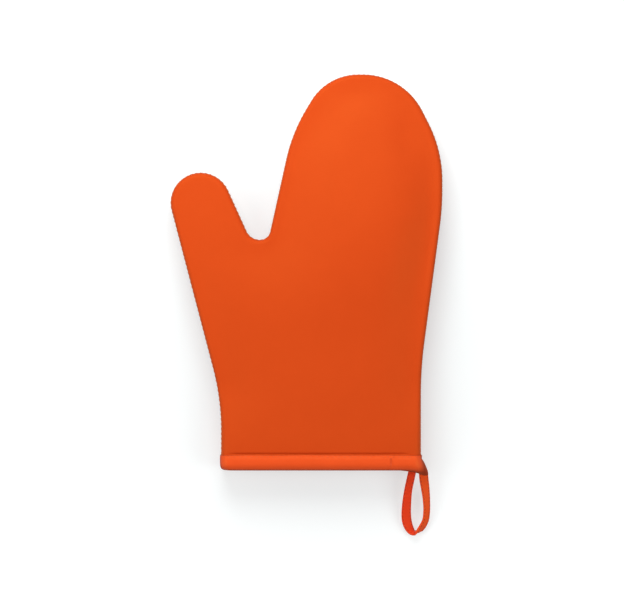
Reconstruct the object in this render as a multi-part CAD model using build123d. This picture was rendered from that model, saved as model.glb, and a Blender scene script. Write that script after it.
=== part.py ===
"""Padded oven mitt, lying flat on its back panel.

Two foam-rubber shells are sewn face to face and turned, so that their seam allowances lie inside.
Each shell carries wadding and a lining, and a bias tape binds the three layers round the cuff.
The tape's tail leaves the little-finger corner and comes back as the hanging loop.

The palm region and the cuff are the fixed part. The finger pocket, the thumb and the loop bend
from it, so every layer is divided at the two lines where the fabric flexes.

Frame: X across the mitt, Y from the cuff to the fingertips, Z up. Millimetres. The pieces are
drawn with Y = 0 at the cuff's edge. They are written with the origin under the middle of the
palm, on the face that the mitt lies on.
"""
from build123d import *
from math import asin, cos, degrees, radians, sin, tan
import os

# ---- Driving sizes ---------------------------------------------------------------------------

# Pattern of the mitt, seen flat. A lean is in degrees from upright.
cuff_width = 132.4            # across the opening
mitt_length = 261.8           # cuff edge to fingertips
palm_side_reach = 80.4        # widest point on the little-finger side, from the middle of the cuff
palm_flare_height = 72.0      # where the little-finger side leaves the straight cuff
palm_flare_lean = 7.6
shoulder_outer_height = 211.6 # where the little-finger side turns in towards the fingertips
shoulder_outer_lean = 27.0
fingertip_inner_x = 3.9       # where the top turns down to the index-finger side
fingertip_inner_lean = 31.0
finger_inner_x = -23.2        # a point of the index-finger side
finger_inner_y = 205.2
finger_inner_lean = 12.5
crotch_height = 152.5         # bottom of the notch between thumb and fingers
thumb_tip_x = -79.6           # middle of the round thumb tip
thumb_tip_y = 176.8
thumb_inner_lean = 24.4
thumb_outer_lean = 14.7

# Radii of the pattern's corners
thumb_tip_radius = 20.0
crotch_radius = 7.3
cuff_thumb_bend = 163.0
cuff_palm_bend = 270.0
palm_bulge_radius = 180.0
shoulder_outer_radius = 83.0
fingertip_outer_radius = 44.0
fingertip_inner_radius = 36.5
shoulder_inner_radius = 110.0

palm_middle_height = 90.0     # from the cuff's edge to the origin

# Thickness and layers
mitt_thickness = 26.0         # lying flat, slightly puffed
rim_radius = 12.0             # rounding of the shells down to the seam
seam_flat = 0.5               # least upright height on each side of the seam
shell_thickness = 3.0         # foam rubber with knitted faces
wadding_thickness = 2.0
lining_thickness = 1.0
allowance_width = 4.0         # seam allowance, measured inwards from the shell's inner face
allowance_thickness = 2.0     # each of the two allowances, pressed by the seam
layer_gap = 0.2               # between one layer and the next

# Sewing thread
shell_thread_radius = 0.45
lining_thread_radius = 0.25
binding_thread_radius = 0.25
loop_thread_radius = 0.25
thread_gap = 0.05             # all round each thread in its groove

# Binding
binding_width = 9.8           # seen on each face
binding_inner_width = 8.4     # seen inside the cuff
tape_thickness = 0.8
binding_cap = 3.0             # folded tape beyond the layers' cut ends
binding_roll = 2.6            # rounding of the bound edge
binding_stitch_line = 8.0     # height of the stitching above the cuff edge

# Tail of the tape and hanging loop
tape_folded = 3.0             # thickness of the tape once it is folded and sewn shut
loop_tape_width = 5.6
loop_hinge_drop = 3.5         # from the cuff edge to the line about which the loop flops
loop_floor_gap = 0.2          # between the loop's lowest edge and the table
loop_length = 39.5            # hinge line to the middle of the tape at the bottom
loop_inner_leg_inset = 5.8    # from the cuff's side to the middle of each leg at the hinge line
loop_outer_leg_outset = 1.4
loop_belly_inset = 11.6       # from the cuff's side to where each leg would meet a square bottom
loop_belly_outset = 4.7
loop_bottom_radius = 7.0
loop_stitch_inset = 1.2       # from the outer edge of the loop's tape to its row of stitches
tack_inset = 20.2             # cuff's side to the stitched bar that holds the tape's end
tack_length = 5.2
tack_width = 1.4
tack_height = 0.4

# Flexing
flex_gap = 0.3                # between the fixed part and each part that bends
finger_flex_height = 172.5    # line across the knuckles
thumb_flex_heading = 236.0    # direction of the thumb's flex line, from the notch to the wrist
thumb_flex_offset = 14.0      # distance of that line from the notch

# ---- Values that follow from them ------------------------------------------------------------

half_cuff = cuff_width / 2
half_thickness = mitt_thickness / 2
rim = min(rim_radius, half_thickness - seam_flat)
wadding_inset = shell_thickness + layer_gap
lining_inset = shell_thickness + allowance_width + layer_gap
lining_drop = shell_thickness + wadding_thickness + 2 * layer_gap
pocket_inset = lining_inset + lining_thickness
pocket_drop = lining_drop + lining_thickness
layers_end = binding_cap + layer_gap
lining_thread_inset = lining_inset - layer_gap / 2 + lining_thread_radius
loop_inner_leg_x = half_cuff - loop_inner_leg_inset
loop_outer_leg_x = half_cuff + loop_outer_leg_outset
loop_belly_inner_x = half_cuff - loop_belly_inset
loop_belly_outer_x = half_cuff + loop_belly_outset
tack_x = half_cuff - tack_inset
tail_drop = loop_hinge_drop - tape_folded / 2 - flex_gap
loop_drop = half_thickness - tape_folded / 2 - loop_floor_gap
loop_droop = degrees(asin(loop_drop / (loop_length + loop_tape_width / 2)))
overrun = 40.0                # the pattern runs on past the cuff and is then cut square
overrun_corner = 25.0
beyond = 400.0                # larger than the mitt in every direction
shortest_straight = 1e-4      # between two arcs of the outline
seam_plane = Plane.XY.offset(half_thickness)


# ---- Pattern ---------------------------------------------------------------------------------

def heading(degrees):
    """Unit direction in the plane of the mitt, counted anticlockwise from +X."""
    return Vector(cos(radians(degrees)), sin(radians(degrees)))


def meet(first, second):
    """The point where two straight edges cross; each is a point and a heading."""
    (p, a), (q, b) = first, second
    u, v = heading(a), heading(b)
    along = ((q.X - p.X) * v.Y - (q.Y - p.Y) * v.X) / (u.X * v.Y - u.Y * v.X)
    return p + u * along


def pattern_edges():
    """Straight edges anticlockwise: a point, the heading, and the radius of the next corner."""
    tip = Vector(thumb_tip_x, thumb_tip_y)
    thumb_lean = (thumb_inner_lean + thumb_outer_lean) / 2
    tip_point = tip + heading(90 + thumb_lean) * thumb_tip_radius
    thumb_inside = tip + heading(thumb_inner_lean) * thumb_tip_radius
    thumb_outside = tip + heading(180 + thumb_outer_lean) * thumb_tip_radius
    return [
        (Vector(0, -overrun), 0, overrun_corner),
        (Vector(half_cuff, 0), 90, cuff_palm_bend),
        (Vector(half_cuff, palm_flare_height), 90 - palm_flare_lean, palm_bulge_radius),
        (Vector(palm_side_reach, 0), 90, shoulder_outer_radius),
        (Vector(palm_side_reach, shoulder_outer_height), 90 + shoulder_outer_lean,
         fingertip_outer_radius),
        (Vector(0, mitt_length), 180, fingertip_inner_radius),
        (Vector(fingertip_inner_x, mitt_length), 270 - fingertip_inner_lean,
         shoulder_inner_radius),
        (Vector(finger_inner_x, finger_inner_y), 270 - finger_inner_lean, crotch_radius),
        (Vector(0, crotch_height), 180, crotch_radius),
        (thumb_inside, 90 + thumb_inner_lean, thumb_tip_radius),
        (tip_point, 180 + thumb_lean, thumb_tip_radius),
        (thumb_outside, 270 + thumb_outer_lean, cuff_thumb_bend),
        (Vector(-half_cuff, 0), 270, overrun_corner),
    ]


def turn_at(edges, i):
    """Angle by which the outline turns after edge i; positive at an outward corner."""
    return (edges[(i + 1) % len(edges)][1] - edges[i][1] + 180) % 360 - 180


def corner_radii(edges):
    """Radius at the end of each edge, eased where two neighbouring arcs would overlap."""
    count = len(edges)
    corners = [meet(edges[i][:2], edges[(i + 1) % count][:2]) for i in range(count)]
    reaches = [edges[i][2] * tan(radians(abs(turn_at(edges, i))) / 2) for i in range(count)]
    room = [(corners[i] - corners[i - 1]).length / (reaches[i] + reaches[i - 1])
            for i in range(count)]
    return [edges[i][2] * min(1, room[i], room[(i + 1) % count]) for i in range(count)]


def pattern_wire(inset=0.0):
    """Outline of the mitt, moved inwards by inset, as tangent lines and arcs."""
    edges = pattern_edges()
    radii = corner_radii(edges)
    moved = [(point + heading(lean + 90) * inset, lean) for point, lean, _ in edges]
    arcs = []
    for i, (_, lean) in enumerate(moved):
        turn = turn_at(edges, i)
        bend = radii[i] - inset if turn > 0 else radii[i] + inset
        corner = meet(moved[i], moved[(i + 1) % len(moved)])
        reach = bend * tan(radians(abs(turn)) / 2)
        arcs.append(TangentArc(corner - heading(lean) * reach,
                               corner + heading(lean + turn) * reach, tangent=heading(lean)))
    outline = []
    for arc, following in zip(arcs, arcs[1:] + arcs[:1]):
        outline.append(arc)
        if (following @ 0 - arc @ 1).length > shortest_straight:
            outline.append(Line(arc @ 1, following @ 0))
    return Wire([piece.edge() for piece in outline])


def notch_point():
    """Bottom of the notch between thumb and fingers."""
    side, floor, thumb = [(p, a) for p, a, _ in pattern_edges()[7:10]]
    return (meet(side, floor) + meet(floor, thumb)) * 0.5


# ---- Solids that the layers are made from ----------------------------------------------------

def pillow(inset, drop, radius):
    """Closed two-sided form of the mitt, inset from its outline and dropped from its faces."""
    face = seam_plane.location * make_face(pattern_wire(inset))
    block = extrude(face, amount=half_thickness - drop, both=True)
    rims = block.edges().group_by(Axis.Z)
    return fillet(rims[0] + rims[-1], radius)


def cuff_tube(inset, drop, start, end):
    """Solid prism along Y whose section is that of the cuff, inset and dropped."""
    section = RectangleRounded(cuff_width - 2 * inset, mitt_thickness - 2 * drop, rim - drop)
    plane = Plane(origin=(0, start, half_thickness), x_dir=(1, 0, 0), z_dir=(0, 1, 0))
    return extrude(plane * section, amount=end - start)


def slab(z_low, z_high, y_low=-beyond, y_high=beyond):
    """Large flat block between two heights."""
    block = Box(2 * beyond, y_high - y_low, z_high - z_low,
                align=(Align.CENTER, Align.MIN, Align.MIN))
    return Pos(0, y_low, z_low) * block


def seam_thread(inset, radius, start):
    """Thread along the outline at the seam's height, from the cuff's start upwards."""
    path = seam_plane.location * pattern_wire(inset)
    section = Plane(origin=path @ 0, z_dir=path % 0) * Circle(radius)
    return sweep(section, path=path) & slab(0, mitt_thickness, start)


# ---- Regions that move -----------------------------------------------------------------------

def finger_region(gap):
    """Everything beyond the finger flex line, leaving a gap before it."""
    floor = finger_flex_height + gap
    return Pos(notch_point().X, floor, 0) * Box(
        beyond, beyond, beyond, align=(Align.MIN, Align.MIN, Align.CENTER))


def thumb_region(gap):
    """Everything beyond the thumb flex line and left of the notch, leaving a gap before the line."""
    notch = notch_point()
    base = Plane(origin=notch, x_dir=heading(thumb_flex_heading), z_dir=(0, 0, 1))
    past_line = base.location * Pos(0, -thumb_flex_offset - gap, 0) * Box(
        2 * beyond, beyond, beyond, align=(Align.CENTER, Align.MAX, Align.CENTER))
    past_notch = Pos(notch.X, 0, 0) * Box(
        beyond, 2 * beyond, beyond, align=(Align.MAX, Align.CENTER, Align.CENTER))
    return past_line & past_notch


def divide(name, layer):
    """Cuts a layer at the flex lines, and returns its three named pieces."""
    half = flex_gap / 2
    return {
        f"{name}_hand": layer - finger_region(-half) - thumb_region(-half),
        f"{name}_fingers": layer & finger_region(half),
        f"{name}_thumb": layer & thumb_region(half),
    }


# ---- Shells, wadding and linings -------------------------------------------------------------

def shells():
    """Front and back shell, with their seam allowances and the step that the binding fills."""
    outside = pillow(0, 0, rim)
    inside = pillow(shell_thickness, shell_thickness, rim - shell_thickness)
    allowance_edge = shell_thickness + allowance_width
    allowance = extrude(seam_plane.location * make_face(pattern_wire(shell_thickness - layer_gap)),
                        amount=allowance_thickness, both=True)
    allowance -= extrude(seam_plane.location * make_face(pattern_wire(allowance_edge)),
                         amount=beyond, both=True)
    bag = outside - inside + allowance
    bag &= slab(0, mitt_thickness, layers_end)
    pressed = tape_thickness + layer_gap
    step_end = binding_width + layer_gap
    bag -= cuff_tube(-1, -1, 0, step_end) - cuff_tube(pressed, pressed, 0, step_end)
    bag -= seam_thread(0, shell_thread_radius + thread_gap, binding_width)
    return halves("shell", bag)


def wadding():
    """Front and back wadding, between shell and lining and clear of the seam allowances."""
    outside = pillow(wadding_inset, wadding_inset, rim - wadding_inset)
    hollow = pillow(lining_inset - layer_gap, lining_drop - layer_gap,
                    rim - lining_drop + layer_gap)
    pad = (outside - hollow) & slab(0, mitt_thickness, layers_end)
    clear = allowance_thickness + layer_gap
    pad -= slab(half_thickness - clear, half_thickness + clear)
    return halves("wadding", pad)


def lining():
    """Front and back lining, which make the pocket for the hand."""
    outside = pillow(lining_inset, lining_drop, rim - lining_drop)
    inside = pillow(pocket_inset, pocket_drop, rim - pocket_drop)
    bag = (outside - inside) & slab(0, mitt_thickness, layers_end)
    bag -= seam_thread(lining_thread_inset, lining_thread_radius + thread_gap, layers_end)
    return halves("lining", bag)


def halves(name, bag):
    """Parts a two-sided layer at the seam plane, and divides both sides at the flex lines."""
    front = bag & slab(half_thickness, beyond)
    back = bag & slab(-beyond, half_thickness)
    return divide(f"front_{name}", front) | divide(f"back_{name}", back)


def threads():
    """Thread that closes the shells, and thread that closes the linings."""
    shell_thread = seam_thread(0, shell_thread_radius, binding_width + layer_gap)
    lining_thread = seam_thread(lining_thread_inset, lining_thread_radius,
                                layers_end + layer_gap)
    return divide("shell_seam_thread", shell_thread) | divide("lining_seam_thread", lining_thread)


# ---- Binding ---------------------------------------------------------------------------------

def stitch_ring(inset, drop, radius):
    """Ring of thread round the cuff at the height of the binding's stitching."""
    tube = cuff_tube(inset, drop, binding_stitch_line, binding_stitch_line + 1)
    path = Wire(tube.faces().sort_by(Axis.Y)[0].outer_wire().edges())
    section = Plane(origin=path @ 0, z_dir=path % 0) * Circle(radius)
    return sweep(section, path=path)


def binding():
    """Bias tape folded over the cuff's edge, its two rows of thread, and its bar tack."""
    leg_inset = pocket_inset + layer_gap
    leg_drop = pocket_drop + layer_gap
    mouth_inset = leg_inset + tape_thickness
    mouth_drop = leg_drop + tape_thickness
    tape = cuff_tube(0, 0, 0, binding_width) - cuff_tube(
        tape_thickness, tape_thickness, binding_cap, binding_width)
    tape += cuff_tube(leg_inset, leg_drop, 0, binding_inner_width)
    tape -= cuff_tube(mouth_inset, mouth_drop, -1, binding_inner_width + 1)
    tape = fillet(tape.edges().group_by(Axis.Y)[0], binding_roll)
    tape += tail() + sewn_in_end()
    needle_side = (binding_thread_radius, binding_thread_radius)
    bobbin_side = (mouth_inset - binding_thread_radius, mouth_drop - binding_thread_radius)
    tape -= stitch_ring(*needle_side, binding_thread_radius + thread_gap)
    tape -= stitch_ring(*bobbin_side, binding_thread_radius + thread_gap)
    tack_end = binding_stitch_line - binding_thread_radius - layer_gap
    tack = Pos(tack_x, tack_end, mitt_thickness) * Box(
        tack_width, tack_length, tack_height, align=(Align.CENTER, Align.MAX, Align.MIN))
    return {
        "cuff_binding": tape,
        "binding_needle_thread": stitch_ring(*needle_side, binding_thread_radius),
        "binding_bobbin_thread": stitch_ring(*bobbin_side, binding_thread_radius),
        "loop_bar_tack": tack,
    }


def tail():
    """Tape that runs off the binding at the little-finger corner, folded and turned down."""
    inner = loop_outer_leg_x - loop_tape_width / 2
    outer = loop_outer_leg_x + loop_tape_width / 2
    rooted = half_cuff - tape_thickness / 2
    shape = Polyline(
        (inner, -tail_drop), (outer, -tail_drop), (rooted, binding_width - tape_thickness),
        (rooted, binding_cap / 2), (inner, binding_cap / 2), close=True)
    return extrude(seam_plane.location * make_face(shape), amount=tape_folded / 2, both=True)


def sewn_in_end():
    """End of the tape that comes back from the loop and is caught in the binding."""
    height = tail_drop + binding_cap / 2
    return Pos(loop_inner_leg_x, -tail_drop, half_thickness) * Box(
        loop_tape_width, height, tape_folded, align=(Align.CENTER, Align.MIN, Align.CENTER))


# ---- Hanging loop ----------------------------------------------------------------------------

def loop_path(outset=0.0):
    """Line of the tape in the loop's own plane, moved outwards by outset; the hinge is at Y = 0."""
    middle = FilletPolyline(
        (loop_inner_leg_x, 0), (loop_belly_inner_x, -loop_length),
        (loop_belly_outer_x, -loop_length), (loop_outer_leg_x, 0), radius=loop_bottom_radius)
    if outset == 0:
        return middle
    return middle.offset_2d(outset, side=Side.RIGHT, closed=False)


def hanging_loop():
    """Folded tape from the tail round to the sewn-in end, drooping to the table, and its stitches."""
    hinge = Plane(origin=(0, -loop_hinge_drop, half_thickness), x_dir=(1, 0, 0),
                  z_dir=(0, -sin(radians(loop_droop)), cos(radians(loop_droop))))
    path = loop_path()
    start = Plane(origin=path @ 0, x_dir=(0, 0, 1), z_dir=path % 0)
    tape = sweep(start * RectangleRounded(tape_folded, loop_tape_width, tape_folded / 4),
                 path=path)
    for leg in (loop_inner_leg_x, loop_outer_leg_x):
        tape += Pos(leg, 0, 0) * Cylinder(tape_folded / 2, loop_tape_width, rotation=(0, 90, 0))
    tape -= loop_stitches(loop_thread_radius + thread_gap)
    return {
        "hanging_loop": hinge.location * tape,
        "loop_edge_thread": hinge.location * loop_stitches(loop_thread_radius),
    }


def loop_stitches(radius):
    """Row of thread that sews the folded tape shut, near the loop's outer edge, flush on top."""
    height = tape_folded / 2 - loop_thread_radius
    path = Pos(0, 0, height) * loop_path(loop_tape_width / 2 - loop_stitch_inset)
    section = Plane(origin=path @ 0, z_dir=path % 0) * Circle(radius)
    return sweep(section, path=path)


# ---- Files -----------------------------------------------------------------------------------

def main():
    os.makedirs("parts", exist_ok=True)
    nodes = shells() | wadding() | lining() | threads() | binding() | hanging_loop()
    for name, shape in nodes.items():
        export_step(Pos(0, -palm_middle_height, 0) * shape, f"parts/{name}.step")


main()
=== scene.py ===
"""Padded oven mitt of foam rubber with a bound cuff and a hanging loop, lying on its back panel."""

from math import asin, ceil, cos, exp, floor, pi, radians, sin, tan

import bmesh
import bpy
from mathutils import Matrix, Vector, noise
from mathutils.bvhtree import BVHTree
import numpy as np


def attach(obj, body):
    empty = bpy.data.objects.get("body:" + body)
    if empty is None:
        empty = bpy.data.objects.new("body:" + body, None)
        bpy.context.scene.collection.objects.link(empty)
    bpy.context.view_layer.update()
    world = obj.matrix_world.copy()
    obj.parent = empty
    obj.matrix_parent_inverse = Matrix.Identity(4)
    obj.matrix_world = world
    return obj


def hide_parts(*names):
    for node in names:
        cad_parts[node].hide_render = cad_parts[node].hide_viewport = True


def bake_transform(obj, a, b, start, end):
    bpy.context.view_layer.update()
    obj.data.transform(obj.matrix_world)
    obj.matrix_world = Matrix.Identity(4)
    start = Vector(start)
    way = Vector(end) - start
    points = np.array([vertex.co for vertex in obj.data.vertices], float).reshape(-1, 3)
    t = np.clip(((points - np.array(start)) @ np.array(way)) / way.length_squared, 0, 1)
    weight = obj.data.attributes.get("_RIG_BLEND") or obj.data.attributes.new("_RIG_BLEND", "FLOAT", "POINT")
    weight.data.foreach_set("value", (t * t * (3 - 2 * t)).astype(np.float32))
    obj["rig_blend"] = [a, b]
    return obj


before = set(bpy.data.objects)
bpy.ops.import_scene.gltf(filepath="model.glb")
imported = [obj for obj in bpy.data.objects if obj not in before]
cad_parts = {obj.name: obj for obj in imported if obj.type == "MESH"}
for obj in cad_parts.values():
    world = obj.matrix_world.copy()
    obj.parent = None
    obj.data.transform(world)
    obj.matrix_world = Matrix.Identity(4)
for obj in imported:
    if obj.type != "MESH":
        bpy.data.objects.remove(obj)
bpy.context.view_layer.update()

# ---- Foam-rubber shells ----------------------------------------------------------------------
# Two panels of 3 mm foam rubber with a fine knitted face, cut alike, sewn face to face and turned.
# The turned seam lies in a small valley half way up, with its allowances pressed inwards.
# The thumb is a piece of its own only so that it can fold; it meets the palm without a step.

# Sizes are in millimetres, with Y = 0 at the cuff's edge, and become metres as a piece is finished.
MM = 0.001
palm_middle = 90.0       # from the cuff's edge to the frame's own middle
seam_height = 13.0       # from the table
rim_radius = 12.0
cuff_side = 66.2         # from the middle line to the cuff's side
shell_drop = 0.8         # how far inside the full thickness the shells start, before they swell
foam = 3.0
allowance = 4.0
allowance_thick = 2.0
stitch = 3.2             # from one stitch to the next
shell_end = 5.2          # where the shells are cut off inside the binding
beyond = 40.0            # how far the pattern runs on below the cuff before that cut
crown = 1.2              # how far the stuffing lifts the faces in the middle
slack = 5.4              # how far the faces sink at the edges
roll_reach = 3.8         # width of the foam's turn over the edge
roll_heights = (0.5, 4.5)
hollow = 3.6             # depth of the sag over the palm
pucker_reach = 1.5

# The pattern's straight edges, anticlockwise: a point, the heading, and the next corner's radius.
pattern = [
    (0.0, -beyond, 0.0, 25.0),
    (cuff_side, 0.0, 90.0, 270.0),
    (cuff_side, 67.0, 82.4, 180.0),
    (80.4, 0.0, 90.0, 83.0),
    (80.4, 211.6, 117.0, 44.0),
    (0.0, 261.8, 180.0, 36.5),
    (3.9, 261.8, 239.0, 110.0),
    (-23.2, 205.2, 257.5, 6.6),
    (0.0, 152.5, 180.0, 9.5),
    (-61.387, 185.062, 114.4, 20.0),
    (-86.293, 195.647, 199.55, 20.0),
    (-98.945, 171.724, 284.7, 163.0),
    (-cuff_side, 0.0, 270.0, 25.0),
]
notch = Vector((-40.75, 152.5, 0.0))
notch_margin = 2.5
thumb_way = 146.0
thumb_fold = 28.0
knuckle_fold = (152.5, 192.5)


def heading(degrees):
    """A level unit vector, its angle counted anticlockwise from X."""
    return Vector((cos(radians(degrees)), sin(radians(degrees)), 0.0))


def smooth(low, high, value):
    """Rises smoothly from 0 to 1 as value goes from low to high."""
    t = min(1.0, max(0.0, (value - low) / (high - low)))
    return t * t * (3 - 2 * t)


def outline(step):
    """Points along the pattern about step apart: place, way inwards, and distance along it."""
    corners = []
    for (x, y, lean, _), (u, v, next_lean, _) in zip(pattern, pattern[1:] + pattern[:1]):
        way, other = heading(lean), heading(next_lean)
        along = ((u - x) * other.y - (v - y) * other.x) / (way.x * other.y - way.y * other.x)
        corners.append(Vector((x, y, 0.0)) + way * along)
    bends = []
    for i, (_, _, lean, radius) in enumerate(pattern):
        turn = (pattern[(i + 1) % len(pattern)][2] - lean + 180) % 360 - 180
        reach = radius * tan(radians(abs(turn)) / 2)
        bends.append((corners[i] - heading(lean) * reach, lean, turn, radius,
                      corners[i] + heading(lean + turn) * reach))
    points, travelled = [], 0.0
    for i, (start, lean, turn, radius, _) in enumerate(bends):
        before = bends[i - 1][4]
        length = (start - before).length
        count = round(length / step)
        for k in range(count):
            points.append((before.lerp(start, k / count), heading(lean + 90),
                           travelled + length * k / count))
        travelled += length
        side = 90 if turn > 0 else -90
        centre = start + heading(lean + side) * radius
        length = radians(abs(turn)) * radius
        count = max(1, round(length / step))
        for k in range(count):
            now = lean + turn * k / count
            points.append((centre - heading(now + side) * radius, heading(now + 90),
                           travelled + length * k / count))
        travelled += length
    return points


def rolled(inset, drop, radius, count, lip=(), clear=0.0):
    """Insets and heights over the seam, past a lip, round the rim and on to the panel's face."""
    flat = seam_height - drop - radius
    start = asin(max(0.0, clear - flat) / radius)
    rings = list(lip)
    for k in range(count + 1):
        angle = start + (pi / 2 - start) * k / count
        rings.append((inset + radius * (1 - cos(angle)), flat + radius * sin(angle)))
    return rings


def strip(bm, rows, marks=None):
    """Joins closed rows of places with faces, one extrusion a row; gives the first and last row."""
    depth = bm.verts.layers.float.get("mark")
    first = row = [bm.verts.new(place) for place in rows[0]]
    loop = [bm.edges.new(pair) for pair in zip(row, row[1:] + row[:1])]
    for i, places in enumerate(rows):
        if i:
            grown = bmesh.ops.extrude_edge_only(bm, edges=loop)["geom"]
            loop = [e for e in grown if isinstance(e, bmesh.types.BMEdge)]
            new = {v.co.to_tuple(5): v for v in grown if isinstance(v, bmesh.types.BMVert)}
            row = [new[v.co.to_tuple(5)] for v in row]
        for v, place in zip(row, places):
            v.co = place
        if marks:
            for v, mark in zip(row, marks[i]):
                v[depth] = mark
    return first, row


def face_grid(bm, rim, cell):
    """Fills a rim with one face and cuts it into square cells."""
    middle = bm.faces.new(rim)
    middle.material_index = 1
    for axis, way in ((0, Vector((1, 0, 0))), (1, Vector((0, 1, 0)))):
        low, high = (pick(v.co[axis] for v in rim) for pick in (min, max))
        for k in range(1, ceil((high - low) / cell)):
            inside = [f for f in bm.faces if f.material_index]
            parts = list({x for f in inside for x in (*f.verts, *f.edges, f)})
            bmesh.ops.bisect_plane(bm, geom=parts, plane_co=way * (low + k * cell), plane_no=way)
    for f in bm.faces:
        f.material_index = 0


def layer(points, faces, pucker=0.0):
    """A front panel, its heights counted from the seam. Each face is its rings and its cells' size,
    and a second face makes the panel closed."""
    bm = bmesh.new()
    bm.verts.layers.float.new("mark")
    rings = [ring for face, _ in faces[1:] for ring in reversed(face)] + faces[0][0]
    rows = []
    for inset, rise in rings:
        near = pucker * exp(-(inset + max(0.0, rise - 1)) / pucker_reach) / 2
        rows.append([place + inward * (inset + near * (1 - cos(2 * pi * run / stitch)))
                     + Vector((0, 0, rise)) for place, inward, run in points])
    ends = strip(bm, rows, marks=[[inset] * len(points) for inset, _ in rings])
    for rim, (_, cell) in zip(reversed(ends), faces):
        face_grid(bm, rim, cell)
    bmesh.ops.triangulate(bm, faces=[f for f in bm.faces if len(f.verts) > 4])
    bmesh.ops.recalc_face_normals(bm, faces=bm.faces)
    return bm


def cap_ends(bm):
    """Closes each open end with a flat face that keeps a crisp edge."""
    open_edges = [e for e in bm.edges if e.is_boundary]
    if open_edges:
        caps = bmesh.ops.edgeloop_fill(bm, edges=open_edges)["faces"]
        for e in open_edges:
            e.smooth = False
        bmesh.ops.triangulate(bm, faces=caps)


def cut_square(bm, end):
    """Cuts a layer off square at the cuff and closes the cut."""
    parts = [*bm.verts, *bm.edges, *bm.faces]
    bmesh.ops.bisect_plane(bm, geom=parts, plane_co=(0, end, 0), plane_no=(0, -1, 0),
                           clear_outer=True)
    cap_ends(bm)


def split_thumb(bm):
    """Divides a layer at the line where the thumb folds: the palm's part and the thumb's part."""
    way = heading(thumb_way)
    side = notch.x + notch_margin
    left = [f for f in bm.faces if all(v.co.x < side for v in f.verts)]
    parts = list({x for f in left for x in (*f.verts, *f.edges, f)})
    bmesh.ops.bisect_plane(bm, geom=parts, plane_co=notch, plane_no=way)
    thumb = bm.copy()
    for half, kept in ((bm, False), (thumb, True)):
        doomed = []
        for f in half.faces:
            middle = f.calc_center_median()
            beyond_fold = middle.x < side and (middle - notch).dot(way) > 0
            if beyond_fold != kept:
                doomed.append(f)
        bmesh.ops.delete(half, geom=doomed, context="FACES")
        cap_ends(half)
    return bm, thumb


def to_back(bm):
    """Turns a front layer over into the back one."""
    bmesh.ops.scale(bm, verts=bm.verts, vec=(1, 1, -1))
    bmesh.ops.reverse_faces(bm, faces=bm.faces)


def piece(bm, name):
    """Makes an object of a bmesh in millimetres whose heights count from the table."""
    bmesh.ops.translate(bm, verts=bm.verts, vec=(0, -palm_middle, 0))
    bmesh.ops.scale(bm, verts=bm.verts, vec=(MM, MM, MM))
    mesh = bpy.data.meshes.new(name)
    bm.to_mesh(mesh)
    bm.free()
    sharp = [e.use_edge_sharp for e in mesh.edges]
    mesh.shade_smooth()
    mesh.edges.foreach_set("use_edge_sharp", sharp)
    obj = bpy.data.objects.new(name, mesh)
    bpy.context.scene.collection.objects.link(obj)
    return obj


def bake(obj):
    """Applies an object's modifiers to its mesh."""
    shown = obj.evaluated_get(bpy.context.evaluated_depsgraph_get())
    mesh = bpy.data.meshes.new_from_object(shown)
    obj.modifiers.clear()
    obj.data = mesh
    return obj


def surface(mesh):
    """A search tree over a mesh, in millimetres from the cuff's edge."""
    places = [(v.co.x / MM, v.co.y / MM + palm_middle, v.co.z / MM) for v in mesh.vertices]
    return BVHTree.FromPolygons(places, [p.vertices for p in mesh.polygons])


form_step = 5.0
form_drop = 1.0
form_weld = 2.5
held_seam = (2.5, 7.0)
held_cuff = (-10.0, 30.0)
cloth_frames = 20
swell_limit = 5.0


def stuffed_form():
    """The stuffed mitt before and after a little pressure from inside swells it over the seam."""
    bm = layer(outline(form_step), [(rolled(0.0, form_drop, rim_radius - form_drop, count=5), 6.0)])
    back = bm.copy()
    to_back(back)
    half = bpy.data.meshes.new("back_half")
    back.to_mesh(half)
    bm.from_mesh(half)
    bmesh.ops.translate(bm, verts=bm.verts, vec=(0, 0, seam_height))
    bmesh.ops.remove_doubles(bm, verts=bm.verts, dist=form_weld)
    bag = piece(bm, "stuffed_form")
    remesh = bag.modifiers.new("even_cells", "REMESH")
    remesh.mode = "VOXEL"
    remesh.voxel_size = form_step * MM
    bake(bag)
    held = bag.vertex_groups.new(name="held")
    for v in bag.data.vertices:
        near_seam = 1 - smooth(*held_seam, abs(v.co.z / MM - seam_height))
        near_cuff = 1 - smooth(*held_cuff, v.co.y / MM + palm_middle)
        held.add([v.index], max(near_seam, near_cuff), "REPLACE")
    cloth = bag.modifiers.new("swell", "CLOTH")
    cloth.settings.quality = 6
    cloth.settings.mass = 0.4
    cloth.settings.tension_stiffness = 20
    cloth.settings.compression_stiffness = 20
    cloth.settings.bending_stiffness = 2
    cloth.settings.use_pressure = True
    cloth.settings.uniform_pressure_force = 4
    cloth.settings.vertex_group_mass = "held"
    cloth.settings.effector_weights.gravity = 0
    for now in range(1, cloth_frames + 1):
        bpy.context.scene.frame_set(now)
    shown = bag.evaluated_get(bpy.context.evaluated_depsgraph_get()).to_mesh()
    moved = [v.co.copy() for v in shown.vertices]
    bag.modifiers.clear()
    bpy.context.scene.frame_set(1)
    forms = []
    for most in (0.0, swell_limit):
        for v, there in zip(bag.data.vertices, moved):
            way = there - v.co
            v.co += way * min(1.0, most * MM / max(way.length, 1e-9))
        finer = bag.modifiers.new("finer", "SUBSURF")
        finer.levels = finer.render_levels = 2
        shown = bag.evaluated_get(bpy.context.evaluated_depsgraph_get()).to_mesh()
        forms.append(surface(shown))
        bag.modifiers.clear()
    bpy.data.objects.remove(bag)
    return forms


full_swell = 4.0
form_cell = 8.0
well_above = 60.0
columns_from, columns_to = -14, 13
rows_from, rows_to = -4, 36


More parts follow.
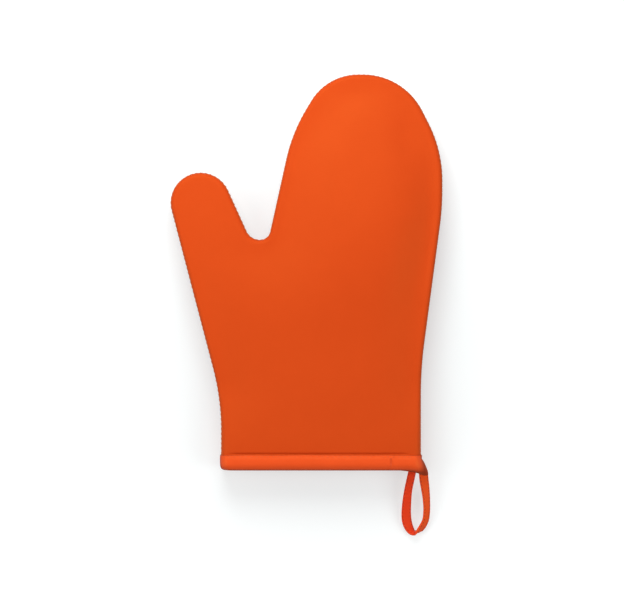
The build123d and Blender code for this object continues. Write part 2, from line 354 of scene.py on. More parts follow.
def swell_grid():
    """The share of the full swell at each crossing of a coarse grid over the mitt."""
    flat_form, full_form = stuffed_form()
    shares = {}
    for i in range(columns_from, columns_to):
        for j in range(rows_from, rows_to):
            above = Vector((i * form_cell, j * form_cell, well_above))
            before, after = (form.ray_cast(above, Vector((0, 0, -1)))[0]
                             for form in (flat_form, full_form))
            if before and after:
                shares[i, j] = min(1.0, (after.z - before.z) / full_swell)
    return shares


swell_shares = swell_grid()


def spline_weights(t):
    """How much four neighbours in a row count, t of the way from the second to the third."""
    return ((1 - t) ** 3 / 6, (3 * t ** 3 - 6 * t * t + 4) / 6,
            (1 + 3 * t + 3 * t * t - 3 * t ** 3) / 6, t ** 3 / 6)


fold_width, fold_length, fold_height = 46.0, 60.0, 0.5
hollow_y, hollow_reach = 82.0, 44.0
tip_taper, tip_start, tip_end = 3.4, 150.0, 262.0
thumb_taper, thumb_start, thumb_end = 3.0, 110.0, 205.0
thumb_side = (-35.0, -60.0)
cuff_ease = (12.0, 60.0)


def swell(x, y):
    """How far the stuffing lifts the face over a point, in millimetres."""
    i, j = floor(x / form_cell), floor(y / form_cell)
    lift = 0.0
    for a, across in enumerate(spline_weights(x / form_cell - i)):
        for b, along in enumerate(spline_weights(y / form_cell - j)):
            lift += across * along * swell_shares.get((i + a - 1, j + b - 1), 0.0)
    rumple = noise.noise(Vector((x / fold_width, y / fold_length, 3.0)))
    soft_fold = rumple * fold_height * lift
    sag = hollow * exp(-((y - hollow_y) / hollow_reach) ** 2) * lift
    taper = tip_taper * smooth(tip_start, tip_end, y)
    taper += thumb_taper * smooth(thumb_start, thumb_end, y) * smooth(*thumb_side, x)
    return ((crown + slack) * lift + soft_fold - sag - taper * lift) * smooth(*cuff_ease, y)


def roll_rise(inset, rise, firm, thin):
    """How far the face stands above a round rim, because the foam turns over the edge tightly."""
    tight = (1 - (1 - min(inset, roll_reach) / roll_reach) ** 3) ** (1 / 3)
    wide = (1 - (1 - min(inset, rim_radius) / rim_radius) ** 2) ** 0.5
    return (rim_radius * (tight - wide) * firm - slack * tight * thin) * smooth(*roll_heights, rise)


# The tape's edge presses a groove across the shells just above the binding.
groove_y = 10.9
groove_depth = 0.8
groove_width = 0.75
groove_cuts = 12
cuts_per_width = 2.5
groove_insets = (3.0, 12.0)
groove_corner = (50.0, 62.0)

# The turn over the edge is a little looser next to the binding and firm further up. The swell
# starts a little way in from the edge, and is full sooner where the turn is firm.
least_firm, firm_gain = 0.8, 0.2
firm_rows = (14.0, 45.0)
swell_inset = 1.0
swell_full, swell_firm = 12.0, 6.0

# Near the table a height eases towards it and never goes below.
table_zone = 1.0
table_ease = 0.04


def settle(bm, back):
    """Swells a layer with the stuffing and lays its back on the table."""
    depth = bm.verts.layers.float["mark"]
    for k in range(-groove_cuts, groove_cuts + 1):
        cut = (0, groove_y + k * groove_width / cuts_per_width, 0)
        parts = [f for f in bm.faces if any(v.co.y < 2 * groove_y for v in f.verts)]
        parts = list({x for f in parts for x in (*f.verts, *f.edges, f)})
        bmesh.ops.bisect_plane(bm, geom=parts, plane_co=cut, plane_no=(0, 1, 0))
    for v in bm.verts:
        press = exp(-((v.co.y - groove_y) / groove_width) ** 2)
        firm = least_firm + firm_gain * smooth(*firm_rows, v.co.y)
        v.co.z += roll_rise(v[depth], v.co.z, firm, smooth(*cuff_ease, v.co.y))
        full = swell_full - swell_firm * firm
        v.co.z += swell(v.co.x, v.co.y) * smooth(swell_inset, full, v[depth])
        pressed = groove_depth * press * smooth(*groove_insets, v[depth])
        v.co.z -= pressed * (1 - smooth(*groove_corner, v.co.x))
    if back:
        to_back(bm)
    bmesh.ops.translate(bm, verts=bm.verts, vec=(0, 0, seam_height))
    for v in bm.verts:
        if v.co.z < table_zone:
            v.co.z = (v.co.z + (v.co.z ** 2 + table_ease) ** 0.5) / 2


class Wire:
    """One output of a shader node. Sums of wires and plain numbers add their Math nodes."""

    def __init__(self, finish, socket):
        self.finish = finish
        self.socket = socket

    def maths(self, operation, first, second):
        """One Math node on two wires or numbers."""
        return self.finish.node("Math", {"operation": operation}, {0: first, 1: second})

    def __add__(self, other):
        return self.maths("ADD", self, other)

    def __sub__(self, other):
        return self.maths("SUBTRACT", self, other)

    def __rsub__(self, other):
        return self.maths("SUBTRACT", other, self)

    def __mul__(self, other):
        return self.maths("MULTIPLY", self, other)

    __radd__ = __add__
    __rmul__ = __mul__

    def sine(self):
        return self.maths("SINE", self, 0.0)

    def clamp(self):
        """Kept between 0 and 1."""
        return self.finish.node("Clamp", {}, {"Value": self})


class Finish:
    """A material that is put together node by node on a Principled shader."""

    def __init__(self, name, **constants):
        self.material = bpy.data.materials.new(name)
        self.start(self.material, "Principled BSDF", constants)

    def start(self, owner, shader, constants):
        """Takes up the owner's nodes and sets the constants on its shader."""
        owner.use_nodes = True
        self.tree = owner.node_tree
        self.shader = self.tree.nodes[shader]
        for socket, value in constants.items():
            self.shader.inputs[socket.replace("_", " ")].default_value = value

    def node(self, kind, settings, values, out=0):
        """Adds a node with its settings and its sockets' values or wires; gives one output."""
        node = self.tree.nodes.new("ShaderNode" + kind)
        for name, value in settings.items():
            setattr(node, name, value)
        for socket, value in values.items():
            self.put(node.inputs[socket], value)
        return Wire(self, node.outputs[out])

    def put(self, socket, value):
        """Links a wire to a socket, or sets the socket's own value."""
        if isinstance(value, Wire):
            self.tree.links.new(value.socket, socket)
        else:
            socket.default_value = value

    def place(self, scale=1.0):
        """The object's own coordinates in millimetres, divided by scale."""
        here = self.node("TexCoord", {}, {}, out=3)
        return self.node("VectorMath", {"operation": "SCALE"},
                         {0: here, "Scale": 1 / (MM * scale)})

    def parts(self, vector):
        """The X, Y and Z of a vector."""
        split = self.node("SeparateXYZ", {}, {0: vector}).socket.node
        return [Wire(self, out) for out in split.outputs]

    def grain(self, scale, detail=2.0, roughness=0.5):
        """Noise from 0 to 1 with features about scale millimetres across."""
        return self.node("TexNoise", {}, {"Vector": self.place(scale), "Scale": 1.0,
                                          "Detail": detail, "Roughness": roughness})

    def attribute(self, name):
        """A number that the mesh carries at its vertices."""
        return self.node("Attribute", {"attribute_name": name}, {}, out=2)

    def blend(self, factor, first, second):
        """The first colour where the factor is 0 and the second where it is 1."""
        return self.node("Mix", {"data_type": "RGBA"}, {0: factor, 6: first, 7: second}, out=2)

    def bump(self, height, distance):
        """Relief: height from 0 to 1, distance in millimetres."""
        return self.node("Bump", {}, {"Height": height, "Distance": distance * MM,
                                      "Strength": 1.0})

    def dress(self, **sockets):
        """Puts wires on the shader's sockets."""
        for socket, value in sockets.items():
            self.put(self.shader.inputs[socket.replace("_", " ")], value)


def colour(red, green, blue):
    """A full colour for a socket, from its linear parts."""
    return (red, green, blue, 1.0)


def knit_relief(finish, course, wale):
    """Fine knitted rows and columns, course and wale millimetres apart."""
    x, y, z = finish.parts(finish.place())
    rows = ((y + z) * (2 * pi / course)).sine()
    columns = ((x + z) * (2 * pi / wale)).sine()
    return (rows + columns) * 0.25 + 0.5


foam_skin = Finish("foam_rubber_knit", Roughness=0.56, Specular_IOR_Level=0.34,
                   Specular_Tint=colour(1.0, 0.85, 0.14), Sheen_Weight=0.35,
                   Sheen_Roughness=0.5, Sheen_Tint=colour(1.0, 0.45, 0.07))
# Painted shade: the face is darkened over its last millimetre towards the seam, where the turned seam's
# valley lies in shade.
seam_shade = 1 - (foam_skin.attribute("mark") * 0.9).clamp()
rim_share = 1 - (foam_skin.attribute("mark") * 0.3).clamp()
cloudy = foam_skin.grain(14.0, detail=3.0)
even = foam_skin.blend(cloudy, colour(0.590, 0.044, 0.0058), colour(0.620, 0.048, 0.0066))
shaded = foam_skin.blend(seam_shade * 0.35, even, colour(0.28, 0.022, 0.005))
knit = knit_relief(foam_skin, 0.95, 0.75) * 0.6 + foam_skin.grain(0.5) * 0.4
foam_skin.dress(Base_Color=shaded, Normal=foam_skin.bump(knit, 0.05),
                Roughness=foam_skin.grain(6.0) * 0.08 + rim_share * 0.3 + 0.52)

# At the seam each edge turns in round a small lip, given as insets and heights over the seam.
lip = [(1.1, 0.05), (0.7, 0.3), (0.35, 0.62), (0.12, 1.0)]
tuck = foam + allowance
inner_lip = [(tuck, 0.05), (tuck, allowance_thick), (foam + 0.4, allowance_thick + 0.2)]
shell_faces = [
    (rolled(0.0, shell_drop, rim_radius, count=14, lip=lip), 3.0),
    (rolled(foam, foam + shell_drop, rim_radius - foam, count=5, lip=inner_lip,
            clear=allowance_thick + 0.6), 6.0),
]


def bend_palm(obj):
    """Lets a piece bend across the knuckles."""
    start, end = ((0, (y - palm_middle) * MM, seam_height * MM) for y in knuckle_fold)
    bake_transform(obj, "hand", "fingers", start=start, end=end)


def bend_thumb(obj):
    """Lets a piece bend across the thumb's root."""
    start = (notch + Vector((0, -palm_middle, seam_height))) * MM
    end = start + heading(thumb_way) * thumb_fold * MM
    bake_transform(obj, "hand", "thumb", start=start, end=end)


def both_sides(kind, step, faces, end, finish, pucker=0.0):
    """Makes a layer's four pieces, for the palm and the thumb, on the front and on the back."""
    made = []
    for side in ("front", "back"):
        bm = layer(outline(step), faces, pucker)
        settle(bm, side == "back")
        cut_square(bm, end)
        palm, thumb = split_thumb(bm)
        for part, bm in (("palm", palm), ("thumb", thumb)):
            obj = piece(bm, f"{side}_{part}_{kind}")
            obj.data.materials.append(finish.material)
            if part == "palm":
                bend_palm(obj)
                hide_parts(f"{side}_{kind}_hand", f"{side}_{kind}_fingers")
            else:
                bend_thumb(obj)
                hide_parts(f"{side}_{kind}_thumb")
            made.append(obj)
    return made


for shell in both_sides("shell", step=0.8, faces=shell_faces, end=shell_end, finish=foam_skin,
                        pucker=0.3):
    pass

# ---- Shell seam thread -----------------------------------------------------------------------
# One row of lockstitch in orange thread holds the two shells together all round but the cuff.
# Only the short bars that cross the turned seam show, sunk in the valley between the panels.

thread_radius = 0.42
bar_length = 2.6
bar_inset = 0.3
seam_start = 11.0        # height of the first stitches, just above the binding
seam_step = 0.2

sewing_thread = Finish("polyester_thread", Roughness=0.5, Specular_IOR_Level=0.3)
x, y, z = sewing_thread.parts(sewing_thread.place())
twist = ((x + y + z * 1.6) * (2 * pi / 0.5)).sine() * 0.5 + 0.5
# The thread's own orange dye, with painted shade: darker in the grooves of the twist, where the bump sinks.
dye_and_twist_shade = sewing_thread.blend(twist, colour(0.66, 0.065, 0.010), colour(0.86, 0.12, 0.02))
sewing_thread.dress(Base_Color=dye_and_twist_shade, Normal=sewing_thread.bump(twist, 0.06))


def bars(places, name, finish=sewing_thread):
    """Short rounded bars of thread, each one a middle, half its length as a vector, and a radius."""
    bm = bmesh.new()
    for middle, half, radius in places:
        turn = half.to_track_quat("Z", "Y").to_matrix().to_4x4()
        size = Matrix.Diagonal((radius, radius, half.length, 1.0))
        bmesh.ops.create_uvsphere(bm, u_segments=6, v_segments=5, radius=1.0,
                                  matrix=Matrix.Translation(middle) @ turn @ size)
    obj = piece(bm, name)
    obj.data.materials.append(finish.material)
    return obj


def seam_bars(name, inset, half, radius, finish=sewing_thread):
    stretches = {"palm": [], "thumb": []}
    due = 0.0
    for place, inward, run in outline(seam_step):
        if run < due:
            continue
        due = run + stitch
        if place.y < seam_start:
            continue
        on_thumb = place.x < notch.x and (place - notch).dot(heading(thumb_way)) > 0
        middle = place + inward * inset + Vector((0, 0, seam_height))
        stretches["thumb" if on_thumb else "palm"].append((middle, half, radius))
    for part, places in stretches.items():
        obj = bars(places, f"{part}_{name}", finish)
        if part == "palm":
            bend_palm(obj)
            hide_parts(f"{name}_hand", f"{name}_fingers")
        else:
            bend_thumb(obj)
            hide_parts(f"{name}_thumb")


seam_bars("shell_seam_thread", bar_inset, Vector((0, 0, bar_length / 2)), thread_radius)

# ---- Wadding ---------------------------------------------------------------------------------
# A 2 mm sheet of needled polyester fibre lies between each shell and its lining.
# It is cut a little smaller than the shell, so that none of it is caught in the shell's seam.

layer_end = 3.2
wadding_outside, wadding_inside = 3.2, 5.1
wadding_clear = 2.3


def inner_face(inset, depth, clear):
    """Rings of a face that lies depth under the shell's and stops clear of the seam's height."""
    return rolled(inset, depth + shell_drop, rim_radius - depth - shell_drop, count=5, clear=clear)


wadding_faces = [(inner_face(depth, depth, wadding_clear), 6.0)
                 for depth in (wadding_outside, wadding_inside)]

wadding = Finish("needled_wadding", Roughness=0.95, Specular_IOR_Level=0.1)
fibres = wadding.grain(1.2, detail=5.0, roughness=0.7)
wadding.dress(Base_Color=wadding.blend(fibres, colour(0.62, 0.60, 0.56), colour(0.85, 0.84, 0.80)),
              Normal=wadding.bump(fibres, 0.4))

for pad in both_sides("wadding", step=2.4, faces=wadding_faces, end=layer_end, finish=wadding):
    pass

# ---- Lining ----------------------------------------------------------------------------------
# Each panel carries a plain-woven cotton lining, which shows only through the cuff's mouth.
# The two linings are sewn to each other along the same outline, with a row of their own.

lining_inset, lining_depth = 7.2, 5.4
lining_thick = 1.0
lining_clear = 0.3
weave = 0.8
lining_faces = [(inner_face(lining_inset + more, lining_depth + more, lining_clear), 5.0)
                for more in (0.0, lining_thick)]

# Each cut of the lining laid flat: width and length in metres, and area in square metres.
lining_cuts = {"palm": (0.150, 0.252, 0.0280), "thumb": (0.054, 0.086, 0.0025)}

lining = Finish("woven_lining", Roughness=0.85, Specular_IOR_Level=0.2)
x, y, z = lining.parts(lining.place())
weft = ((y + z) * (2 * pi / weave)).sine()
warp = ((x + z) * (2 * pi / weave)).sine()
woven = weft * warp * 0.5 + 0.5
# The lining's own colour, with painted shade: darker in the dips of the weave, where the bump sinks.
lining.dress(Base_Color=lining.blend(woven, colour(0.42, 0.045, 0.01), colour(0.62, 0.075, 0.016)),
             Normal=lining.bump(woven, 0.12))
lining_thread = Finish("lining_thread", Roughness=0.6)
lining_thread.dress(Base_Color=lining_thread.blend(lining_thread.grain(0.4),
                                                   colour(0.42, 0.05, 0.01),
                                                   colour(0.7, 0.1, 0.02)))

for cloth in both_sides("lining", step=2.0, faces=lining_faces, end=layer_end, finish=lining):
    part = "thumb" if "thumb" in cloth.name else "palm"
    width, length, area = lining_cuts[part]

lining_bar_inset, lining_bar_half, lining_bar_radius = 8.9, 1.0, 0.2
seam_bars("lining_seam_thread", lining_bar_inset, Vector((0, 0, lining_bar_half)),
          lining_bar_radius, lining_thread)

# ---- Cuff binding ----------------------------------------------------------------------------
# A bias tape is folded over the layers' cut ends and stitched through them all in one pass.
# It is slightly puffed, with a groove where its edge presses the shell and a tight fold below.

binding_line = 9.2       # height of its row of stitches
tape = 0.8
side_share = 0.25        # how much of its puff is left at the cuff's sides
cuff_radius = 5.0
mouth_inset = 9.2
mouth_drop = 7.4
mouth_radius = 4.6

# Its unevenness: rumples, a tug at each stitch, and an upper edge that isn't quite straight.
rumple_height, rumple_width, rumple_length = 0.22, 11.0, 7.0
rumple_fade = (-0.3, 0.6)
tug_depth, tug_reach = 0.12, 1.2
waver_height, waver_length = 0.35, 30.0
waver_rows = (6.0, 10.0)

# The tail: how far the tape is drawn out and down at the corner, and over what stretch.
tail_top = 7.8
tail_reach = 6.6
tail_drop = 4.2
tail_spread = 9.0
tail_side = (57.0, 65.0)
tail_through = (0.3, 1.0)
tail_rows = (0.0, 7.0)
table_gap = 0.02


def cuff_section(count_side, count_top, count_quarter):
    """Places round the outer and the inner ring of the cuff, matched one to one."""
    pairs = []
    outer = (cuff_side - cuff_radius, seam_height - shell_drop - cuff_radius, cuff_radius)
    inner = (cuff_side - mouth_inset - mouth_radius,
             seam_height - mouth_drop - mouth_radius, mouth_radius)
    signs = [(1, 1), (-1, 1), (-1, -1), (1, -1)]
    for i, (sx, sz) in enumerate(signs):
        for k in range(count_quarter):
            way = heading(90 * (i + k / count_quarter))
            way = Vector((way.x, 0, way.y))
            pairs.append([Vector((sx * a, 0, sz * b)) + way * r for a, b, r in (outer, inner)]
                         + [way])
        tx, tz = signs[(i + 1) % 4]
        way = heading(90 * (i + 1))
        way = Vector((way.x, 0, way.y))
        count = count_top if i % 2 == 0 else count_side
        for k in range(count):
            t = k / count
            pairs.append([Vector((a * (sx + (tx - sx) * t), 0, b * (sz + (tz - sz) * t))) + way * r
                          for a, b, r in (outer, inner)] + [way])
    return pairs


section = cuff_section(count_side=3, count_top=136, count_quarter=24)

# The tape's path over the edge: how far inwards through the cuff, how far out, and the height.
tape_path = [
    (0.0, -0.8, 10.2), (0.0, -0.2, 10.35), (0.0, 0.35, 10.35), (0.0, 0.8, 10.1), (0.0, 1.02, 9.7),
    (0.0, 0.97, 9.2), (0.0, 1.12, 8.7), (0.0, 1.34, 8.1), (0.0, 1.46, 7.4), (0.0, 1.54, 6.5),
    (0.0, 1.56, 5.6), (0.0, 1.54, 4.7), (0.0, 1.42, 3.9), (0.0, 1.18, 3.1), (0.01, 0.82, 2.3),
    (0.04, 0.45, 1.5), (0.10, 0.18, 0.85), (0.21, 0.0, 0.38), (0.42, 0.0, 0.1), (0.72, 0.0, 0.05),
    (0.88, 0.0, 0.5), (0.96, 0.0, 1.4), (1.0, 0.0, 2.8), (1.0, 0.0, 4.6), (1.0, -0.1, 6.6),
    (1.0, 0.0, 8.2), (1.0, 0.2, 9.2), (1.0, 0.0, 9.7), (1.0, 0.3, 10.0), (1.0, 0.9, 10.1),
]


def puffed(out, way):
    """How far the tape stands out from the shells, which is less at the cuff's sides."""
    return out * (side_share + (1 - side_share) * way.z ** 2)


def tape_row(through, out, y):
    """One row of places round the cuff for a stage of the tape's path."""
    row = []
    run = 0.0
    last = None
    for outer, inner, way in section:
        place = outer.lerp(inner, through)
        run += (outer - last).length if last else 0.0
        last = outer
        out_here = puffed(out, way)
        rumple = noise.noise(Vector((run / rumple_width, y / rumple_length, 1.5))) * rumple_height
        rumple *= smooth(*rumple_fade, out_here)
        tug = tug_depth * cos(2 * pi * run / stitch) * exp(-((y - binding_line) / tug_reach) ** 2)
        waver = waver_height * noise.noise(Vector((run / waver_length, 0.0, 7.0)))
        waver *= smooth(*waver_rows, y)
        corner = exp(-(place.z / tail_spread) ** 2) * smooth(*tail_side, outer.x)
        corner *= 1 - smooth(*tail_through, through)
        place = place + way * (out_here + (rumple + tug) * (1 - through))
        place.y = y + waver * (1 - through)
        place.x += tail_reach * corner * min(1.0, max(0.0, (tail_top - y) / tail_top))
        place.y -= tail_drop * corner * (1 - smooth(*tail_rows, y))
        place.z += seam_height
        place.z = max(place.z, table_gap)
        row.append(place)
    return row


def tape_marks():
    """How steeply the tape stands at each place of each row: 0 where it lies flat, 1 upright."""
    rows = []
    for i in range(len(tape_path)):
        before, after = tape_path[max(i - 1, 0)], tape_path[min(i + 1, len(tape_path) - 1)]
        through, out, along = (b - a for a, b in zip(before, after))
        fall = out - through * mouth_drop
        level = abs(along) / (along * along + fall * fall) ** 0.5
        rows.append([1 - level * abs(way.z) for _, _, way in section])
    return rows


bm = bmesh.new()
bm.verts.layers.float.new("mark")
strip(bm, [tape_row(*stage) for stage in tape_path], marks=tape_marks())
bmesh.ops.recalc_face_normals(bm, faces=bm.faces)
binding = piece(bm, "cuff_tape")
bpy.context.view_layer.update()
wall = binding.modifiers.new("tape", "SOLIDIFY")
wall.thickness = tape * MM
wall.offset = -1
bake(binding)
for v in binding.data.vertices:
    v.co.z = max(v.co.z, 0.0)

tape_skin = Finish("knitted_binding_tape", Roughness=0.45, Specular_IOR_Level=0.6,
                   Specular_Tint=colour(1.0, 0.65, 0.18), Sheen_Weight=0.05,
                   Sheen_Roughness=0.45, Sheen_Tint=colour(1.0, 0.4, 0.08))
ribs = knit_relief(tape_skin, 0.7, 0.55)
tape_face = tape_skin.blend(tape_skin.grain(9.0), colour(0.80, 0.066, 0.0105),
                            colour(0.85, 0.074, 0.0125))
# Painted shade: the tape is darkened where it stands steeply, most of all at the tight fold under the cuff,
# which faces away from the lamps.
tape_steep_shade = (tape_skin.attribute("mark") * 1.6 - 0.35).clamp()
tape_skin.dress(Base_Color=tape_skin.blend(tape_steep_shade * 0.9, tape_face, colour(0.25, 0.014, 0.004)),
                Normal=tape_skin.bump(ribs, 0.05),
                Roughness=tape_skin.attribute("mark") * 0.5 + 0.42)
binding.data.materials.append(tape_skin.material)

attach(binding, "hand")
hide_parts("cuff_binding")

# ---- Binding stitches ------------------------------------------------------------------------
# The needle thread shows on the outside as short dashes, and the bobbin thread inside the cuff.
# A stitched bar on the front locks the tape's overlap near the loop.

dash_radius = 0.24
lowest_dash = 0.3


def ring_bars(name, through, out, half):
    """A row of stitches along the binding, each half long either way from its middle."""
    places = []
    run = 0.0
    due = 0.0
    for (outer, inner, way), (ahead, beside, _) in zip(section, section[1:] + section[:1]):
        out_here = puffed(out, way) if through == 0 else out
        here = outer.lerp(inner, through) + way * out_here + Vector((0, binding_line, seam_height))
        onward = (ahead - outer) if through == 0 else (beside - inner)
        if run >= due and here.z > lowest_dash:
            places.append((here, onward.normalized() * half, dash_radius))
            due = run + stitch
        run += onward.length
    obj = bars(places, name)
    for v in obj.data.vertices:
        v.co.z = max(v.co.z, 0.0)
    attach(obj, "hand")
    return obj


needle = ring_bars("binding_needle_stitches", through=0.0, out=0.94, half=1.0)
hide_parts("binding_needle_thread")
bobbin = ring_bars("binding_bobbin_stitches", through=1.0, out=-0.05, half=1.2)
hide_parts("binding_bobbin_thread")

tack_side = 46.0
tack_low, tack_high, tack_rows = 3.4, 8.2, 7
tack_half = Vector((0.75, 0.12, 0.0))
tack_radius = 0.2
tack_raised = 0.05
outside_stages = 14
tack_places = []
for k in range(tack_rows):
    y = tack_low + (tack_high - tack_low) * k / (tack_rows - 1)
    _, out, _ = min(tape_path[:outside_stages], key=lambda stage: abs(stage[2] - y))
    place = Vector((tack_side, y, 2 * seam_height - shell_drop + out + tack_raised))
    tack_places.append((place, tack_half, tack_radius))
tack = bars(tack_places, "loop_tack_stitches")
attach(tack, "hand")
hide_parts("loop_bar_tack")

# ---- Hanging loop ----------------------------------------------------------------------------
# The same tape, folded and edge-stitched, runs down from the tail, turns over at the bottom and
# comes back up behind the binding, where its end is sewn in. It droops to the table.

loop_thick = 1.7
loop_samples = 170
loop_sides = 16          # of its rounded section
squareness = 0.45
rib_height, rib_pitch = 0.025, 0.9
hinge_y = -3.5
droop = 15.5             # degrees
loop_sunk = 0.2
loop_clear = 0.15        # over the table
loop_fold_start, loop_fold_end = -2.0, -7.0
edge_stitch = 2.2
edge_start = 1.0
edge_inset = 0.8
edge_height = 0.97       # share of half the tape's thickness
edge_half, edge_radius = 0.75, 0.2
face_change = (-0.3, 0.3)

# The tape's middle from the sewn-in end to the tail: X, Y, roll in degrees, and width.
loop_course = [
    (60.6, 3.0, 0, 5.2), (60.4, -0.6, 0, 5.2), (59.4, -5.6, 0, 5.3), (57.8, -13.6, 0, 5.4),
    (56.9, -22.0, -2, 6.0), (56.6, -29.2, -4, 6.4), (57.1, -34.6, -9, 6.5),
    (58.6, -38.8, -26, 6.2), (60.7, -41.6, -48, 5.9), (63.0, -42.2, -80, 5.8),
    (65.2, -40.7, -116, 5.7), (67.3, -38.3, -138, 5.3), (69.5, -33.6, -148, 4.9),
    (70.2, -27.0, -154, 4.8), (69.9, -19.5, -160, 5.1), (69.1, -12.5, -168, 5.7),
    (68.2, -6.5, -176, 6.1), (67.8, -2.0, -180, 6.1), (67.6, -0.6, -180, 6.1),
]


def along_course():
    """Even samples of the course through its stages, by Catmull-Rom: X, Y, roll and width."""
    spots = []
    last = len(loop_course) - 1
    for k in range(loop_samples + 1):
        at = k / loop_samples * last
        i = min(int(at), last - 1)
        t = at - i
        stages = [Vector(loop_course[min(max(i + j, 0), last)]) for j in (-1, 0, 1, 2)]
        a, b, c, d = stages
        spots.append(0.5 * (2 * b + (c - a) * t + (2 * a - 5 * b + 4 * c - d) * t * t
                            + (3 * b - 3 * c + d - a) * t ** 3))
    return spots


def loop_height(y):
    """Height of the tape's middle: level to the hinge line, then drooping to the table."""
    drop = max(0.0, hinge_y - y) * tan(radians(droop))
    return seam_height - loop_sunk - drop


def loop_stations():
    """Along the loop: place, way, the tape's sideways and upward directions, width and distance."""
    stations = []
    run = 0.0
    last = None
    course = along_course()
    for i, (x, y, roll, width) in enumerate(course):
        here = Vector((x, y, loop_height(y)))
        ahead = course[min(i + 1, len(course) - 1)]
        behind = course[max(i - 1, 0)]
        way = Vector((ahead[0] - behind[0], ahead[1] - behind[1],
                      loop_height(ahead[1]) - loop_height(behind[1]))).normalized()
        level = Vector((0, 0, 1)).cross(way).normalized()
        turn = Matrix.Rotation(radians(roll), 3, way)
        side = turn @ level
        up = turn @ way.cross(level)
        low = abs(side.z) * width / 2 + abs(up.z) * loop_thick / 2
        here.z = max(here.z, low + loop_clear)
        stations.append((here, way, side, up, width, run))
        run += (here - last).length if last else 0.0
        last = here
    return stations


def squared(share):
    """Moves a round section's coordinate towards the square's."""
    return abs(share) ** squareness * (1 if share > 0 else -1)


profile = []
for k in range(loop_sides):
    angle = 2 * pi * (k + 0.5) / loop_sides
    profile.append(Vector((cos(angle), sin(angle))))
rows = []
edge_places = []
due = edge_start
for here, way, side, up, width, run in loop_stations():
    rib = 1 + rib_height * sin(2 * pi * run / rib_pitch)
    rows.append([here + side * (squared(p.x) * width / 2) + up * (squared(p.y) * loop_thick / 2 * rib)
                 for p in profile])
    if run >= due:
        for face in (-1, 1):
            for flank in (-1, 1):
                edge = side * (flank * (width / 2 - edge_inset))
                edge += up * (loop_thick / 2 * edge_height * face)
                edge_places.append((here + edge, way * edge_half, edge_radius))
        due = run + edge_stitch
bm = bmesh.new()
bm.verts.layers.float.new("mark")
for ring in strip(bm, rows, marks=[[smooth(*face_change, p.y) for p in profile]] * len(rows)):
    bm.faces.new(ring)
bmesh.ops.recalc_face_normals(bm, faces=bm.faces)
loop = piece(bm, "loop_tape")

loop_skin = Finish("loop_tape_skin", Roughness=0.5, Specular_IOR_Level=0.4,
                   Specular_Tint=colour(1.0, 0.6, 0.15), Sheen_Weight=0.15,
                   Sheen_Roughness=0.45, Sheen_Tint=colour(1.0, 0.35, 0.08))
x, y, z = loop_skin.parts(loop_skin.place())
cross_ribs = ((y + x * 0.15) * (2 * pi / rib_pitch)).sine() * 0.5 + 0.5
red_face = loop_skin.blend(loop_skin.grain(5.0), colour(0.84, 0.038, 0.011),
                           colour(0.92, 0.052, 0.015))
orange_face = loop_skin.blend(loop_skin.grain(5.0), colour(0.88, 0.075, 0.013),
                              colour(0.96, 0.092, 0.018))
loop_skin.dress(Base_Color=loop_skin.blend(loop_skin.attribute("mark"), orange_face, red_face),
                Normal=loop_skin.bump(cross_ribs, 0.1))
loop.data.materials.append(loop_skin.material)
# The edge stitches are darker than the other thread: the shade where they sink into the tape is painted into
# their colour.
shade_darkened_edge_thread = Finish("loop_edge_thread", Roughness=0.6, Specular_IOR_Level=0.3)
shade_darkened_edge_thread.dress(Base_Color=shade_darkened_edge_thread.blend(shade_darkened_edge_thread.grain(0.4), colour(0.26, 0.02, 0.006),
                                               colour(0.42, 0.035, 0.009)))
loop_edge = bars(edge_places, "loop_edge_stitches", shade_darkened_edge_thread)
for part, node in ((loop, "hanging_loop"), (loop_edge, "loop_edge_thread")):
    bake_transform(part, "hand", "loop", start=(0, (loop_fold_start - palm_middle) * MM, seam_height * MM),
             end=(0, (loop_fold_end - palm_middle) * MM, seam_height * MM))
    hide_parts(node)

# ---- Table, light and camera -----------------------------------------------------------------
# The mitt lies on a white table in an evenly lit white room. A large soft lamp stands beyond
# the fingertips, and a lamp at each side of the cuff fills in the shadows.

table_size = 4000.0
room_light = 0.25
near_gain, near_start = 30.0, 0.25
far_gain, far_start = 0.8, 0.1


def seen(finish):
    """1 for what is seen straight on, in a gloss or through glass, and 0 for what lights."""
    straight, gloss, glass = (finish.node("LightPath", {}, {}, out=f"Is {kind} Ray")
                              for kind in ("Camera", "Glossy", "Transmission"))
    return (straight + gloss + glass).clamp()


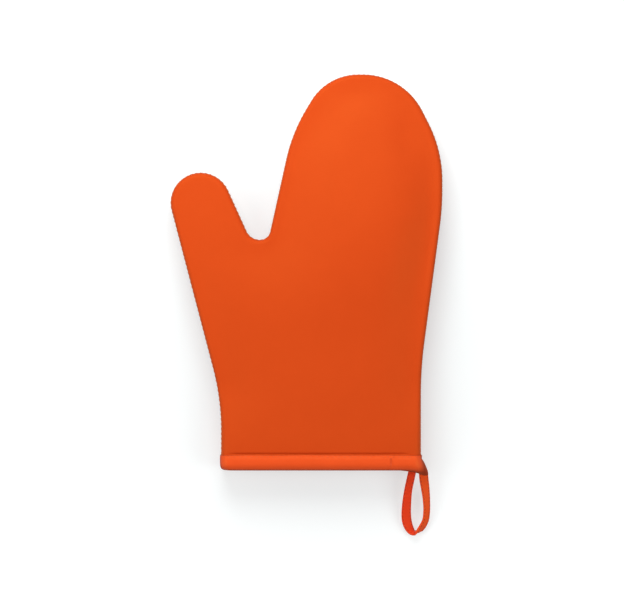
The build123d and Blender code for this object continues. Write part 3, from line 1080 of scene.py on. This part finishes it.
bm = bmesh.new()
bmesh.ops.create_grid(bm, x_segments=1, y_segments=1, size=table_size)
table = piece(bm, "table_top")
white = Finish("white_table", Roughness=0.9, Specular_IOR_Level=0.0,
               Base_Color=colour(0.46, 0.5, 0.5), Emission_Strength=1.0)
x, y, z = white.parts(white.place(1 / MM))
away = x * x + y * y
# Painted light on the table: it glows only straight on and in glosses. The glow is dimmer near the mitt, so
# that its shadow shows, and rises further out to make up for the lamps' fall-off and to cut the shadow
# short.
near_painted_glow = white.blend((away * near_gain - near_start).clamp(),
                        colour(0.50, 0.49, 0.49), colour(0.76, 0.75, 0.75))
floor_painted_glow = white.blend((away * far_gain - far_start).clamp(), near_painted_glow, colour(1.0, 1.0, 1.0))
white.dress(Emission_Color=white.blend(seen(white), colour(0, 0, 0), floor_painted_glow))
table.data.materials.append(white.material)


class Room(Finish):
    """The light of the room itself, put together on the world's Background shader."""

    def __init__(self, name, **constants):
        self.world = bpy.data.worlds.new(name)
        self.start(self.world, "Background", constants)


scene = bpy.context.scene
scene.view_settings.view_transform = "Standard"
room = Room("soft_room", Color=colour(1.0, 1.0, 1.0))
room.dress(Strength=seen(room) * (1 - room_light) + room_light)
scene.world = room.world

# Each lamp's name, place in metres, width and power. All of them point at the mitt.
lamps = [
    ("soft_key", (-0.08, 0.37, 0.36), 0.4, 2.1),
    ("left_fill", (-0.50, -0.16, 0.49), 0.5, 1.65),
    ("right_fill", (0.50, -0.16, 0.49), 0.5, 1.56),
]
for name, place, size, watts in lamps:
    lamp_data = bpy.data.lights.new(name, "AREA")
    lamp_data.shape = "DISK"
    lamp_data.size = size
    lamp_data.energy = watts
    lamp = bpy.data.objects.new(name, lamp_data)
    lamp.location = place
    lamp.rotation_euler = (-lamp.location).to_track_quat("-Z", "Y").to_euler()
    lamp.visible_camera = False
    scene.collection.objects.link(lamp)

camera_data = bpy.data.cameras.new("camera")
camera = bpy.data.objects.new("camera", camera_data)
scene.collection.objects.link(camera)
view_width = 0.413
view_middle = (-0.00596, 0.0225)
camera_height = 2.2
sensor = 36.0
camera_data.sensor_width = sensor
camera_data.lens = sensor * camera_height / view_width
camera.location = (*view_middle, camera_height + seam_height * MM)
scene.camera = camera
